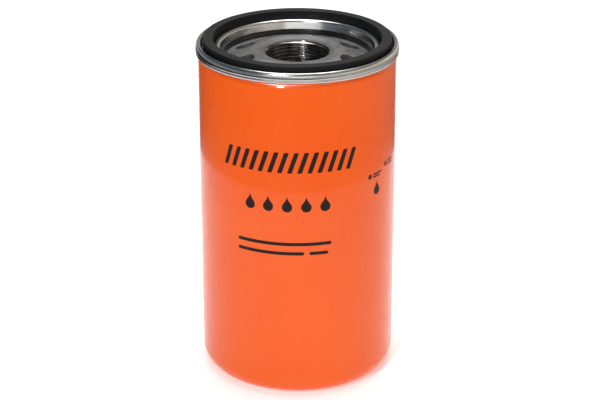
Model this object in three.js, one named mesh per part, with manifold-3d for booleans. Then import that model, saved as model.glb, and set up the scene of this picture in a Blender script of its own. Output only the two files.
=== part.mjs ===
// Spin-on oil filter for a heavy-duty engine: can, seamed lid, thread plate, anti-drainback
// valve, pleated element and bypass valve. Millimetres, +Z up, the closed end of the can on Z = 0.

import * as THREE from 'three';
import { mergeVertices } from 'three/addons/utils/BufferGeometryUtils.js';
import Module from 'manifold-3d';

const wasm = await Module();
wasm.setup();

// ---------------------------------------------------------------- driving dimensions

const FIT = 0.3; // gap left between neighbouring pieces that touch on the real filter
const CASE_SIDES = 40; // facets round the can, lid and thread plate
const CORE_SIDES = 30; // facets round the element and the drainback valve
const VALVE_SIDES = 24; // facets round the centre tube and the bypass valve
const PORT_SIDES = 16;
const TUBE_HOLE_SIDES = 6;
const WIRE_SIDES = 6;

// Can
const HEIGHT = 204.7; // closed end to the top of the sealing gasket
const CAN_R = 57.5;
const CAN_WALL = 0.8;
const CORNER_R = 10.5; // outer radius between side and closed end
const FOOT_WIDTH = 8.5; // flat standing ring
const RECESS_DEPTH = 2.4; // of the closed end inside the standing ring
const RECESS_SLOPE_RUN = 4.5;

// Seam and lid
const SEAM_PROUD = 1.5; // seam beyond the can's side
const SEAM_WIDTH = 3.5;
const SEAM_HEIGHT = 6.0;
const GASKET_OVER_SEAM = 2.7;
const LID_SHEET = 0.7;
const COMPOUND_HEIGHT = 0.8;
const COMPOUND_SHIFT = 0.2; // compound's middle beyond the middle of the can's wall
const COMPOUND_ROOM = 0.4; // compound to the lid's sheet over it
const FLANGE_REACH = 0.5; // can flange beyond the can's side
const GASKET_SIDE_GAP = 1.0; // seam's inner wall to the gasket
const RIM_GAP = 0.5; // gasket's inner side to the rim
const RIM_WIDTH = 3.8; // rounded bead between gasket and plate
const RIM_BELOW_GASKET = 4.4;
const LID_WALL_TAPER = 1.2; // the lid's inner wall leans in by this towards the plate
const FLAT_BETWEEN_BENDS = 0.1; // on the crest of the seam and of the rim

// Sealing gasket
const GASKET_WIDTH = 5.7;
const GASKET_HEIGHT = 7.9;
const GASKET_CHAMFER = 0.6;

// Thread plate and its seal ring
const RING_HEIGHT = 3.35;
const RING_STEP = 0.8; // the ring is this much lower where the lid's wall stands on it
const RING_FOOT_GAP = 0.1; // ring's foot to the edge of the plate's floor
const RING_LIP = 0.95; // the plate's floor starts this far inside the foot of the lid's wall
const PLATE_SHEET = 4.0;
const CONE_RUN = 16.35; // radial width of the plate's sloping part, up to its crown
const CONE_RISE = 5.1;
const UNDER_SHIFT = 0.6; // bends of the plate's under side lie this far inside the upper ones
const BOSS_DIP = 1.1; // the face round the bore lies this far below the crown
const THREAD_MAJOR_R = 19.05; // 1 1/2 inch, 12 threads per inch
const THREAD_DEPTH = 1.0;
const THREAD_LENGTH = 13.55;
const BOSS_CHAMFER_RUN = 2.35;
const BOSS_CHAMFER_DROP = 0.3;
const COLLAR_WALL = 3.45;
const PORT_COUNT = 8;
const PORT_R = 5.7;
const PORT_LAND = 3.85; // port's edge to the foot of the cone
const PLATE_SIDE_GAP = 0.5;

// Anti-drainback valve
const HUB_WALL = 3.6;
const SKIRT_SHEET = 1.2;
const LIP_WIDTH = 1.4;
const LIP_RISE = 0.3;
const LIP_INSET = 1.35; // lip's edge to the foot of the plate's cone
const LIP_THICKNESS = 0.9;
const LIP_GAP = 0.4; // lip to the plate's under side
const SKIRT_THICKENING = 0.3; // of the skirt at the hub
const HUB_BELOW_SKIRT = 0.6; // the hub's end under the foot of the skirt

// Element
const OIL_GAP = 8.2; // element to the can's wall
const CAP_SHEET = 0.6;
const CAP_SKIRT = 7.7;
const CAP_GAP = 0.4; // upper cap to the thread plate's collar
const CAP_HOLE_LIP = 0.3; // the upper cap reaches this far over the centre tube's bore
const POTTING_HEIGHT = 4.8;
const TUBE_CLEARANCE = 0.85; // centre tube's bore outside the thread's minor radius
const TUBE_WALL = 0.6;
const TUBE_HOLE_R = 3.2;
const TUBE_HOLE_ROWS = 5;
const TUBE_HOLES_ROUND = 8;
const PLEATS = 48;
const PAPER = 0.6;
const OUTER_FOLD = 2.0; // middle of the paper, from leg to leg
const INNER_FOLD = 1.1;
const MEDIA_CLEARANCE = 0.6;
const CLIP_SHEET = 0.4;
const CLIP_DEPTH = 5.5;
const CLIP_END_GAP = 0.9;

// Support spring at the closed end
const SPRING_SPACE = 24.8; // can's inside bottom to the element's lower cap
const SUPPORT_R = 24; // middle of the wire
const SUPPORT_WIRE = 3.2;
const SUPPORT_TURNS = 4;
const SUPPORT_STEPS = 14; // facets along one turn
const CLOSED_PITCH = 1.12; // pitch of a closed end turn, in wire diameters
const SEAT_SHEET = 0.8;
const SEAT_RIM = 3.2;
const SEAT_HOLE_R = 12;
const SEAT_SIDE_GAP = 0.6; // spring to the seat's rim

// Bypass valve in the lower cap
const SEAT_BORE_R = 9;
const BYPASS_FLANGE = 1.2;
const BYPASS_COLLAR_DROP = 2.0;
const BYPASS_COLLAR_WALL = 3.1;
const BYPASS_COLLAR_INSET = 2.9; // collar inside the centre tube's outer face
const BYPASS_FLANGE_REACH = 0.5; // flange beyond the centre tube
const SEAT_BEAD_HEIGHT = 0.8;
const SEAT_BEAD_WIDTH = 1.5;
const SEAL_HEIGHT = 1.5;
const SEAL_OVERHANG = 3.2; // seal beyond the seat's bore
const POPPET_SHEET = 1.0;
const POPPET_EDGE = 0.4; // poppet beyond its seal
const GUIDE_CLEARANCE = 2.25; // spring's inside to the poppet's guide
const GUIDE_HEIGHT = 2.5;
const GUIDE_SHOULDER = 1;
const STEM_R = 2.2;
const STEM_CHAMFER = 1;
const STEM_CLEARANCE = 0.5;
const STEM_ABOVE_CAGE = 5.2;
const RIVET_R = 4.5;
const RIVET_HEIGHT = 1.4;
const CAGE_SHEET = 0.8;
const CAGE_BEND = 1.2;
const CAGE_CLEARANCE = 1.0; // poppet to the cage's wall
const CAGE_FLANGE_GAP = 0.5; // cage's flange to the centre tube's bore
const CAGE_WINDOWS = 4;
const CAGE_WINDOW_WIDTH = 12;
const WINDOW_ABOVE_FLANGE = 3.2;
const WINDOW_BELOW_TOP = 4.2;
const BYPASS_SPRING_R = 8.0;
const BYPASS_WIRE = 1.5;
const BYPASS_TURNS = 6;
const BYPASS_STEPS = 10; // facets along one turn
const BYPASS_SPRING_HEIGHT = 18.4;

// ---------------------------------------------------------------- places worked out from them

const canInnerR = CAN_R - CAN_WALL;
const canFloorZ = RECESS_DEPTH + CAN_WALL;

const seamOuterR = CAN_R + SEAM_PROUD;
const seamInnerR = seamOuterR - SEAM_WIDTH;
const seamTopZ = HEIGHT - GASKET_OVER_SEAM;
const seamBottomZ = seamTopZ - SEAM_HEIGHT;
const compoundTopZ = seamTopZ - LID_SHEET - COMPOUND_ROOM;
const flangeTopZ = compoundTopZ - COMPOUND_HEIGHT - FIT;

const gasketOuterR = seamInnerR - GASKET_SIDE_GAP;
const gasketInnerR = gasketOuterR - GASKET_WIDTH;
const gasketBottomZ = HEIGHT - GASKET_HEIGHT;

const grooveFloorZ = gasketBottomZ - FIT;
const rimOuterR = gasketInnerR - RIM_GAP;
const rimInnerR = rimOuterR - RIM_WIDTH;
const rimTopZ = HEIGHT - RIM_BELOW_GASKET;
const lidFootR = rimInnerR - LID_WALL_TAPER;

const ringTopZ = grooveFloorZ - LID_SHEET - FIT;
const ringBottomZ = ringTopZ - RING_HEIGHT;
const ringStepZ = ringTopZ - RING_STEP;
const lidFootZ = ringStepZ + FIT;

const plateFloorZ = ringBottomZ - FIT;
const plateFloorR = lidFootR - RING_LIP;
const plateUnderZ = plateFloorZ - PLATE_SHEET;
const coneTopR = plateFloorR - CONE_RUN;
const coneTopZ = plateFloorZ + CONE_RISE;
const bossTopZ = coneTopZ - BOSS_DIP;
const boreTopZ = bossTopZ - BOSS_CHAMFER_DROP;
const threadMinorR = THREAD_MAJOR_R - THREAD_DEPTH;
const plateFootUnderR = plateFloorR - UNDER_SHIFT;
const coneTopUnderR = coneTopR - UNDER_SHIFT;
const collarR = THREAD_MAJOR_R + COLLAR_WALL;
const collarBottomZ = boreTopZ - THREAD_LENGTH;
const plateR = canInnerR - PLATE_SIDE_GAP;
const portCircleR = plateFloorR - PORT_LAND - PORT_R;

const capTopZ = collarBottomZ - CAP_GAP; // upper cap's top face, against the valve's hub
const elementR = canInnerR - OIL_GAP;
const tubeInnerR = threadMinorR + TUBE_CLEARANCE;
const tubeOuterR = tubeInnerR + TUBE_WALL;
const capBottomZ = canFloorZ + SPRING_SPACE; // lower cap's under face
const pottingOuterR = elementR - CAP_SHEET - FIT;
const upperPottingTopZ = capTopZ - CAP_SHEET - FIT;
const upperPottingBottomZ = upperPottingTopZ - POTTING_HEIGHT;
const lowerPottingBottomZ = capBottomZ + CAP_SHEET + FIT;
const lowerPottingTopZ = lowerPottingBottomZ + POTTING_HEIGHT;
const mediaOuterR = elementR - CAP_SHEET - MEDIA_CLEARANCE;
const mediaInnerR = tubeOuterR + MEDIA_CLEARANCE;

const bypassCollarR = tubeOuterR - BYPASS_COLLAR_INSET; // through the lower cap's hole
const bypassFlangeR = tubeOuterR + BYPASS_FLANGE_REACH;
const bypassFlangeZ = capBottomZ + CAP_SHEET + FIT;
const bypassSeatZ = bypassFlangeZ + BYPASS_FLANGE;
const tubeBottomZ = bypassSeatZ + FIT;
const beadTopZ = bypassSeatZ + SEAT_BEAD_HEIGHT;
const sealBottomZ = beadTopZ + FIT;
const sealTopZ = sealBottomZ + SEAL_HEIGHT;
const sealR = SEAT_BORE_R + SEAL_OVERHANG;
const poppetBottomZ = sealTopZ + FIT;
const poppetTopZ = poppetBottomZ + POPPET_SHEET;
const poppetR = sealR + POPPET_EDGE;
const bypassSpringBottomZ = poppetTopZ + FIT;
const bypassSpringTopZ = bypassSpringBottomZ + BYPASS_SPRING_HEIGHT;
const cageInnerR = poppetR + CAGE_CLEARANCE;
const cageTopZ = bypassSpringTopZ + FIT + CAGE_SHEET;

// ---------------------------------------------------------------- helpers

const point = (r, z) => new THREE.Vector2(r, z);

/** Replaces each [r, z, radius] corner of an open path by an arc of `steps` chords. */
function roundCorners(path, steps = 3) {
  const made = [];
  path.forEach(([r, z, radius], i) => {
    if (!radius) return made.push(point(r, z));
    const corner = point(r, z);
    const back = point(...path[i - 1]).sub(corner).normalize();
    const on = point(...path[i + 1]).sub(corner).normalize();
    const half = Math.acos(THREE.MathUtils.clamp(back.dot(on), -1, 1)) / 2;
    const centre = back.clone().add(on).normalize().multiplyScalar(radius / Math.sin(half)).add(corner);
    const start = back.multiplyScalar(radius / Math.tan(half)).add(corner).sub(centre);
    const end = on.multiplyScalar(radius / Math.tan(half)).add(corner).sub(centre);
    const turn = Math.atan2(start.cross(end), start.dot(end));
    for (let k = 0; k <= steps; k++) {
      made.push(start.clone().rotateAround(point(0, 0), (turn * k) / steps).add(centre));
    }
  });
  return made;
}

/** The closed outline of a bent sheet whose middle follows `path`. */
function sheetOutline(path, thickness, steps) {
  const middle = roundCorners(path, steps);
  const sides = [[], []];
  middle.forEach((p, i) => {
    const before = p.clone().sub(middle[Math.max(i - 1, 0)]).normalize();
    const after = middle[Math.min(i + 1, middle.length - 1)].clone().sub(p).normalize();
    const along = before.clone().add(after).normalize();
    const mitre = Math.max(before.length() ? along.dot(before) : 1, 0.3);
    const across = point(-along.y, along.x).multiplyScalar(thickness / 2 / mitre);
    sides[0].push(p.clone().add(across));
    sides[1].unshift(p.clone().sub(across));
  });
  return [...sides[0], ...sides[1]];
}

/** A closed loop of points moved outwards by `distance`, or inwards where it is negative. */
function offsetLoop(loop, distance) {
  return loop.map((p, i) => {
    const before = p.clone().sub(loop.at(i - 1)).normalize();
    const after = loop[(i + 1) % loop.length].clone().sub(p).normalize();
    const along = before.clone().add(after).normalize();
    return p.clone().add(point(along.y, -along.x).multiplyScalar(distance / along.dot(before)));
  });
}

/** Turns a closed outline of [r, z] points, or one that starts and ends on the axis, about Z. */
function turned(outline, sides) {
  const points = outline.map((p) => (p.isVector2 ? p : point(...p)));
  if (THREE.ShapeUtils.area(points) < 0) points.reverse();
  if (points[0].x > 0 || points.at(-1).x > 0) points.push(points[0].clone());
  return new THREE.LatheGeometry(points, sides).rotateX(Math.PI / 2);
}

/** A ring of rectangular section. */
function flatRing(innerR, outerR, bottomZ, topZ, sides) {
  return turned([[innerR, bottomZ], [outerR, bottomZ], [outerR, topZ], [innerR, topZ]], sides);
}

/** A geometry as a solid that can be cut. */
function solidOf(geometry) {
  const bare = geometry.clone();
  bare.deleteAttribute('normal');
  bare.deleteAttribute('uv');
  const merged = mergeVertices(bare, 1e-4);
  return new wasm.Manifold(new wasm.Mesh({
    numProp: 3,
    vertProperties: new Float32Array(merged.attributes.position.array),
    triVerts: new Uint32Array(merged.index.array),
  }));
}

/** `geometry` with every one of `tools` cut out of it. */
function cut(geometry, tools) {
  const left = tools.reduce((solid, tool) => solid.subtract(solidOf(tool)), solidOf(geometry));
  const mesh = left.getMesh();
  const made = new THREE.BufferGeometry();
  made.setAttribute('position', new THREE.BufferAttribute(mesh.vertProperties, mesh.numProp));
  made.setIndex(new THREE.BufferAttribute(mesh.triVerts, 1));
  return made;
}

/** The middle of a compression spring's wire, with one closed turn at each end. */
class SpringCurve extends THREE.Curve {
  constructor(radius, wire, turns, bottomZ, topZ) {
    super();
    Object.assign(this, { radius, wire, turns, bottomZ, topZ });
  }

  getPoint(t, target = new THREE.Vector3()) {
    const closedPitch = this.wire * CLOSED_PITCH;
    const low = this.bottomZ + this.wire / 2;
    const high = this.topZ - this.wire / 2;
    const openRise = high - low - 2 * closedPitch;
    const turn = t * this.turns;
    const open = THREE.MathUtils.clamp((turn - 1) / (this.turns - 2), 0, 1);
    const closed = Math.min(turn, 1) + Math.max(turn - this.turns + 1, 0);
    const angle = turn * 2 * Math.PI;
    const z = low + closed * closedPitch + open * openRise;
    return target.set(this.radius * Math.cos(angle), this.radius * Math.sin(angle), z);
  }
}

function coilSpring(radius, wire, turns, bottomZ, topZ, stepsPerTurn) {
  const round = new THREE.EllipseCurve(0, 0, wire / 2, wire / 2).getPoints(WIRE_SIDES);
  const section = new THREE.Shape(round.slice(0, -1));
  return new THREE.ExtrudeGeometry(section, {
    steps: turns * stepsPerTurn,
    extrudePath: new SpringCurve(radius, wire, turns, bottomZ, topZ),
    bevelEnabled: false,
  });
}

// ---------------------------------------------------------------- case

function canShell() {
  const wallR = CAN_R - CAN_WALL / 2;
  const middleZ = CAN_WALL / 2;
  const footOuterR = CAN_R - CORNER_R;
  const footInnerR = footOuterR - FOOT_WIDTH;
  const floorEdgeR = footInnerR - RECESS_SLOPE_RUN;
  const flangeZ = flangeTopZ - CAN_WALL / 2;
  const lower = [
    [footInnerR, middleZ],
    [wallR, middleZ, CORNER_R - CAN_WALL / 2],
    [wallR, flangeZ],
    [CAN_R + FLANGE_REACH, flangeZ],
  ];
  const side = sheetOutline(lower, CAN_WALL, 3);
  // The sheet's two faces are joined to the recessed floor, which closes the can on the axis.
  const outerFace = side.slice(side.length / 2).reverse();
  const innerFace = side.slice(0, side.length / 2);
  return turned([
    [0, RECESS_DEPTH], [floorEdgeR, RECESS_DEPTH], ...outerFace,
    ...innerFace.reverse(), [floorEdgeR, canFloorZ], [0, canFloorZ],
  ], CASE_SIDES);
}

function retainerLid() {
  const half = LID_SHEET / 2;
  const panelR = seamOuterR - half;
  const chuckR = seamInnerR + half;
  const crestZ = seamTopZ - half;
  const grooveZ = grooveFloorZ - half;
  const rimZ = rimTopZ - half;
  const seamBend = (SEAM_WIDTH - LID_SHEET - FLAT_BETWEEN_BENDS) / 2;
  const rimBend = (RIM_WIDTH - LID_SHEET - FLAT_BETWEEN_BENDS) / 2;
  return turned(sheetOutline([
    [CAN_R + FIT, seamBottomZ + half],
    [panelR, seamBottomZ + half],
    [panelR, crestZ, seamBend],
    [chuckR, crestZ, seamBend],
    [chuckR, grooveZ],
    [rimOuterR - half, grooveZ],
    [rimOuterR - half, rimZ, rimBend],
    [rimInnerR + half, rimZ, rimBend],
    [lidFootR + half, lidFootZ],
  ], LID_SHEET, 2), CASE_SIDES);
}

function seamCompound() {
  const innerR = canInnerR + COMPOUND_SHIFT;
  return flatRing(innerR, innerR + CAN_WALL, flangeTopZ + FIT, compoundTopZ, CASE_SIDES);
}

function sealingGasket() {
  const c = GASKET_CHAMFER;
  return turned([
    [gasketInnerR, gasketBottomZ], [gasketOuterR, gasketBottomZ],
    [gasketOuterR, HEIGHT - c], [gasketOuterR - c, HEIGHT],
    [gasketInnerR + c, HEIGHT], [gasketInnerR, HEIGHT - c],
  ], CASE_SIDES);
}

function plateSealRing() {
  const stepR = lidFootR + LID_SHEET + 3 * FIT;
  return turned([
    [plateFloorR + RING_FOOT_GAP, ringBottomZ], [gasketOuterR, ringBottomZ], [gasketOuterR, ringTopZ],
    [stepR + FIT, ringTopZ], [stepR, ringStepZ], [lidFootR, ringStepZ],
  ], CASE_SIDES);
}

function portCutters() {
  return Array.from({ length: PORT_COUNT }, (_, k) => {
    const angle = ((k + 0.5) * 2 * Math.PI) / PORT_COUNT;
    const height = 4 * PLATE_SHEET;
    return new THREE.CylinderGeometry(PORT_R, PORT_R, height, PORT_SIDES)
      .rotateX(Math.PI / 2)
      .translate(portCircleR * Math.cos(angle), portCircleR * Math.sin(angle), plateFloorZ);
  });
}

function threadPlate() {
  const lead = THREAD_DEPTH; // 45 degree run-in at each end of the thread
  const plate = turned([
    [threadMinorR, collarBottomZ + lead], [THREAD_MAJOR_R, collarBottomZ], [collarR, collarBottomZ],
    [collarR, coneTopZ - PLATE_SHEET], [coneTopUnderR, coneTopZ - PLATE_SHEET],
    [plateFootUnderR, plateUnderZ], [plateR, plateUnderZ], [plateR, plateFloorZ],
    [plateFloorR, plateFloorZ], [coneTopR, coneTopZ],
    [THREAD_MAJOR_R + BOSS_CHAMFER_RUN, bossTopZ], [THREAD_MAJOR_R, boreTopZ],
    [threadMinorR, boreTopZ - lead],
  ], CASE_SIDES);
  return cut(plate, portCutters());
}

// ---------------------------------------------------------------- anti-drainback valve

function drainbackValve() {
  const hubInnerR = collarR + FIT;
  const hubOuterR = hubInnerR + HUB_WALL;
  const lipR = plateFloorR - LIP_INSET;
  const underAt = (r) => plateUnderZ + ((plateFootUnderR - r) * CONE_RISE) / CONE_RUN;
  const hubTopZ = underAt(Math.max(hubOuterR, coneTopUnderR)) - FIT;
  const lipTopZ = underAt(lipR - LIP_WIDTH / 2) - LIP_GAP;
  const skirtTopZ = lipTopZ - LIP_RISE;
  const hubBottomZ = capTopZ + FIT;
  const skirtFootZ = hubBottomZ + HUB_BELOW_SKIRT; // the skirt rises from here to its lip
  return turned([
    [hubInnerR, hubBottomZ], [hubOuterR, hubBottomZ],
    [hubOuterR, skirtFootZ], [lipR - LIP_WIDTH, skirtTopZ - SKIRT_SHEET],
    [lipR, lipTopZ - LIP_THICKNESS], [lipR, underAt(lipR) - LIP_GAP],
    [lipR - LIP_WIDTH / 2, lipTopZ], [lipR - LIP_WIDTH, skirtTopZ],
    [hubOuterR, skirtFootZ + SKIRT_SHEET + SKIRT_THICKENING],
    [hubOuterR, hubTopZ], [hubInnerR, hubTopZ],
  ], CORE_SIDES);
}

// ---------------------------------------------------------------- element

function endCap(holeR, flatZ, skirtEndZ) {
  const r = elementR - CAP_SHEET / 2;
  const bend = CAP_SHEET / 2 + FIT;
  return turned(sheetOutline([[holeR, flatZ], [r, flatZ, bend], [r, skirtEndZ]], CAP_SHEET, 2), CORE_SIDES);
}

function pleatedMedia() {
  const middle = [];
  for (let k = 0; k < 2 * PLEATS; k++) {
    const outside = k % 2 === 0;
    const r = outside ? mediaOuterR - PAPER / 2 : mediaInnerR + PAPER / 2;
    const half = (outside ? OUTER_FOLD : INNER_FOLD) / 2;
    for (const side of [-half, half]) {
      middle.push(point(r, side).rotateAround(point(0, 0), (k * Math.PI) / PLEATS));
    }
  }
  const shape = new THREE.Shape(offsetLoop(middle, PAPER / 2));
  shape.holes.push(new THREE.Path(offsetLoop(middle, -PAPER / 2)));
  const bottomZ = lowerPottingTopZ + FIT;
  const depth = upperPottingBottomZ - FIT - bottomZ;
  return new THREE.ExtrudeGeometry(shape, { depth, steps: 1, bevelEnabled: false }).translate(0, 0, bottomZ);
}

function mediaSideClip() {
  const bottomZ = capBottomZ + CAP_SKIRT + CAP_SHEET + CLIP_END_GAP;
  const topZ = capTopZ - CAP_SKIRT - CAP_SHEET - CLIP_END_GAP;
  const innerFaceR = mediaOuterR + FIT;
  const outerFaceR = innerFaceR + CLIP_SHEET;
  const legInner = (OUTER_FOLD + PAPER) / 2 + FIT;
  const legOuter = legInner + CLIP_SHEET;
  const legEndR = outerFaceR - CLIP_DEPTH;
  const shape = new THREE.Shape([
    [legEndR, -legOuter], [outerFaceR, -legOuter], [outerFaceR, legOuter], [legEndR, legOuter],
    [legEndR, legInner], [innerFaceR, legInner], [innerFaceR, -legInner], [legEndR, -legInner],
  ].map((p) => point(...p)));
  const depth = topZ - bottomZ;
  return new THREE.ExtrudeGeometry(shape, { depth, steps: 1, bevelEnabled: false }).translate(0, 0, bottomZ);
}

function centreTube() {
  const topZ = capTopZ - CAP_SHEET - FIT;
  const tube = flatRing(tubeInnerR, tubeOuterR, tubeBottomZ, topZ, VALVE_SIDES);
  const firstZ = cageTopZ + STEM_ABOVE_CAGE + 2 * TUBE_HOLE_R;
  const lastZ = topZ - POTTING_HEIGHT - 3 * TUBE_HOLE_R;
  const drills = [];
  for (let row = 0; row < TUBE_HOLE_ROWS; row++) {
    const z = firstZ + ((lastZ - firstZ) * row) / (TUBE_HOLE_ROWS - 1);
    for (let k = 0; k < TUBE_HOLES_ROUND / 2; k++) {
      const angle = ((k + (row % 2) / 2) * 2 * Math.PI) / TUBE_HOLES_ROUND;
      drills.push(new THREE.CylinderGeometry(TUBE_HOLE_R, TUBE_HOLE_R, 4 * tubeOuterR, TUBE_HOLE_SIDES)
        .rotateZ(angle).translate(0, 0, z));
    }
  }
  return cut(tube, drills);
}

// ---------------------------------------------------------------- bypass valve

function bypassBody() {
  const collarInnerR = bypassCollarR - BYPASS_COLLAR_WALL;
  const dropZ = bypassFlangeZ - BYPASS_COLLAR_DROP;
  return turned([
    [collarInnerR, dropZ], [bypassCollarR, dropZ], [bypassCollarR, bypassFlangeZ],
    [bypassFlangeR, bypassFlangeZ], [bypassFlangeR, bypassSeatZ],
    [SEAT_BORE_R + SEAT_BEAD_WIDTH, bypassSeatZ], [SEAT_BORE_R + SEAT_BEAD_WIDTH * 0.8, beadTopZ],
    [SEAT_BORE_R, beadTopZ], [SEAT_BORE_R, bypassFlangeZ], [collarInnerR, bypassFlangeZ],
  ], VALVE_SIDES);
}

function bypassCage() {
  const flangeR = tubeInnerR - CAGE_FLANGE_GAP;
  const flangeZ = bypassSeatZ + FIT + CAGE_SHEET / 2;
  const wallR = cageInnerR + CAGE_SHEET / 2;
  const topZ = cageTopZ - CAGE_SHEET / 2;
  const cage = turned(sheetOutline([
    [flangeR, flangeZ], [wallR, flangeZ], [wallR, topZ, CAGE_BEND], [STEM_R + STEM_CLEARANCE, topZ],
  ], CAGE_SHEET, 2), VALVE_SIDES);
  const lowZ = flangeZ + WINDOW_ABOVE_FLANGE;
  const highZ = topZ - WINDOW_BELOW_TOP;
  const windows = Array.from({ length: CAGE_WINDOWS / 2 }, (_, k) =>
    new THREE.BoxGeometry(4 * wallR, CAGE_WINDOW_WIDTH, highZ - lowZ)
      .rotateZ(((k + 0.5) * 2 * Math.PI) / CAGE_WINDOWS)
      .translate(0, 0, (lowZ + highZ) / 2));
  return cut(cage, windows);
}

function bypassPoppet() {
  const guideR = BYPASS_SPRING_R - BYPASS_WIRE / 2 - GUIDE_CLEARANCE;
  const guideTopZ = poppetTopZ + GUIDE_HEIGHT;
  const stemTopZ = cageTopZ + STEM_ABOVE_CAGE;
  const rivetTopZ = sealBottomZ - FIT;
  return turned([
    [0, rivetTopZ - RIVET_HEIGHT], [RIVET_R, rivetTopZ - RIVET_HEIGHT], [RIVET_R, rivetTopZ],
    [STEM_R, rivetTopZ], [STEM_R, poppetBottomZ], [poppetR, poppetBottomZ], [poppetR, poppetTopZ],
    [guideR, poppetTopZ], [guideR, guideTopZ], [STEM_R, guideTopZ + GUIDE_SHOULDER],
    [STEM_R, stemTopZ - STEM_CHAMFER], [STEM_R - STEM_CHAMFER, stemTopZ], [0, stemTopZ],
  ], VALVE_SIDES);
}

function springSeat() {
  const bottomZ = canFloorZ + FIT;
  const rimR = SUPPORT_R + SUPPORT_WIRE / 2 + SEAT_SIDE_GAP + SEAT_SHEET / 2;
  const flatZ = bottomZ + SEAT_SHEET / 2;
  return turned(sheetOutline([
    [SEAT_HOLE_R, flatZ], [rimR, flatZ], [rimR, flatZ + SEAT_RIM],
  ], SEAT_SHEET, 2), CORE_SIDES);
}

// ---------------------------------------------------------------- assembly

const seatTopZ = canFloorZ + FIT + SEAT_SHEET;

const finishes = {
  orangePaint: { color: 0xef5e20, roughness: 0.3, metalness: 0 },
  tinplate: { color: 0xc9c8c4, roughness: 0.3, metalness: 1 },
  phosphated: { color: 0x77777a, roughness: 0.6, metalness: 0.8 },
  steel: { color: 0x9a9a9c, roughness: 0.4, metalness: 1 },
  springSteel: { color: 0x55565a, roughness: 0.35, metalness: 1 },
  gasketRubber: { color: 0x1d1d20, roughness: 0.6, metalness: 0 },
  valveRubber: { color: 0x2a2830, roughness: 0.5, metalness: 0 },
  compound: { color: 0x3c3a38, roughness: 0.8, metalness: 0 },
  potting: { color: 0xc8b06a, roughness: 0.6, metalness: 0 },
  paper: { color: 0xd9c48f, roughness: 0.9, metalness: 0 },
};

const pieces = [
  ['can_shell', canShell(), 'orangePaint'],
  ['retainer_lid', retainerLid(), 'tinplate'],
  ['seam_compound', seamCompound(), 'compound'],
  ['sealing_gasket', sealingGasket(), 'gasketRubber'],
  ['plate_seal_ring', plateSealRing(), 'gasketRubber'],
  ['thread_plate', threadPlate(), 'phosphated'],
  ['drainback_valve', drainbackValve(), 'valveRubber'],
  ['upper_end_cap', endCap(tubeInnerR - CAP_HOLE_LIP, capTopZ - CAP_SHEET / 2,
    capTopZ - CAP_SKIRT), 'tinplate'],
  ['upper_potting', flatRing(tubeOuterR + FIT, pottingOuterR, upperPottingBottomZ, upperPottingTopZ,
    CORE_SIDES), 'potting'],
  ['pleated_media', pleatedMedia(), 'paper'],
  ['media_side_clip', mediaSideClip(), 'steel'],
  ['centre_tube', centreTube(), 'steel'],
  ['lower_potting', flatRing(bypassFlangeR + FIT, pottingOuterR, lowerPottingBottomZ, lowerPottingTopZ,
    CORE_SIDES), 'potting'],
  ['lower_end_cap', endCap(bypassCollarR + FIT, capBottomZ + CAP_SHEET / 2,
    capBottomZ + CAP_SKIRT), 'tinplate'],
  ['bypass_body', bypassBody(), 'steel'],
  ['bypass_cage', bypassCage(), 'steel'],
  ['bypass_poppet', bypassPoppet(), 'steel'],
  ['bypass_seal', flatRing(STEM_R + FIT, sealR, sealBottomZ, sealTopZ, VALVE_SIDES), 'valveRubber'],
  ['bypass_spring', coilSpring(BYPASS_SPRING_R, BYPASS_WIRE, BYPASS_TURNS, bypassSpringBottomZ,
    bypassSpringTopZ, BYPASS_STEPS), 'springSteel'],
  ['support_spring', coilSpring(SUPPORT_R, SUPPORT_WIRE, SUPPORT_TURNS, seatTopZ + FIT,
    capBottomZ - FIT, SUPPORT_STEPS), 'springSteel'],
  ['spring_seat', springSeat(), 'tinplate'],
];

const filter = new THREE.Group();
for (const [name, geometry, finish] of pieces) {
  const mesh = new THREE.Mesh(geometry, new THREE.MeshStandardMaterial(finishes[finish]));
  mesh.name = name;
  filter.add(mesh);
}

export default filter;
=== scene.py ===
import math
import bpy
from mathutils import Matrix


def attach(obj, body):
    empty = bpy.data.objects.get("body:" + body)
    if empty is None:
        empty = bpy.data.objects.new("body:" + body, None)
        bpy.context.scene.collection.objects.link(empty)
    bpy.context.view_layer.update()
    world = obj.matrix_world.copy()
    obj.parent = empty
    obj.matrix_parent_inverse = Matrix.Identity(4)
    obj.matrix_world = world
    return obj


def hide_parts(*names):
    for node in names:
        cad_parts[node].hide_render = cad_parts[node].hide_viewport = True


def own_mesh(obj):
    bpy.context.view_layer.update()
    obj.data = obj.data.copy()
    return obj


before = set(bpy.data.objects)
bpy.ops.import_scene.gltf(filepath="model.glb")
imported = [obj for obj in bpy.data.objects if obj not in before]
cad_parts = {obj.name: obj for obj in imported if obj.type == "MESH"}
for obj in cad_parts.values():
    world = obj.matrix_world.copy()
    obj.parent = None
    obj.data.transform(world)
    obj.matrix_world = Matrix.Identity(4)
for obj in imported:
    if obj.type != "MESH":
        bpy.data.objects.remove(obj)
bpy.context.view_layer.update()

from types import SimpleNamespace

import bmesh
import bpy
import numpy as np
from mathutils import Vector

# A spin-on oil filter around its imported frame. Outlines are lists of (radius, height) in
# millimetres, with a bend radius as a third number where a corner is rounded.

MM = 0.001
TAU = 2 * math.pi
CASE_SEGMENTS = 256
CORE_SEGMENTS = 192
VALVE_SEGMENTS = 96
SAME = 1e-6  # lengths closer than this are taken as equal


# ---------------------------------------------------------------- sizes from the frame

def extent(node):
    """A CAD node's inner and outer radius about Z and its lowest and highest point, in millimetres."""
    points = np.array([v.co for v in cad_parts[node].data.vertices]) / MM
    radius = np.hypot(points[:, 0], points[:, 1])
    return SimpleNamespace(inner=radius.min(), outer=radius.max(), low=points[:, 2].min(),
                           high=points[:, 2].max())


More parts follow.
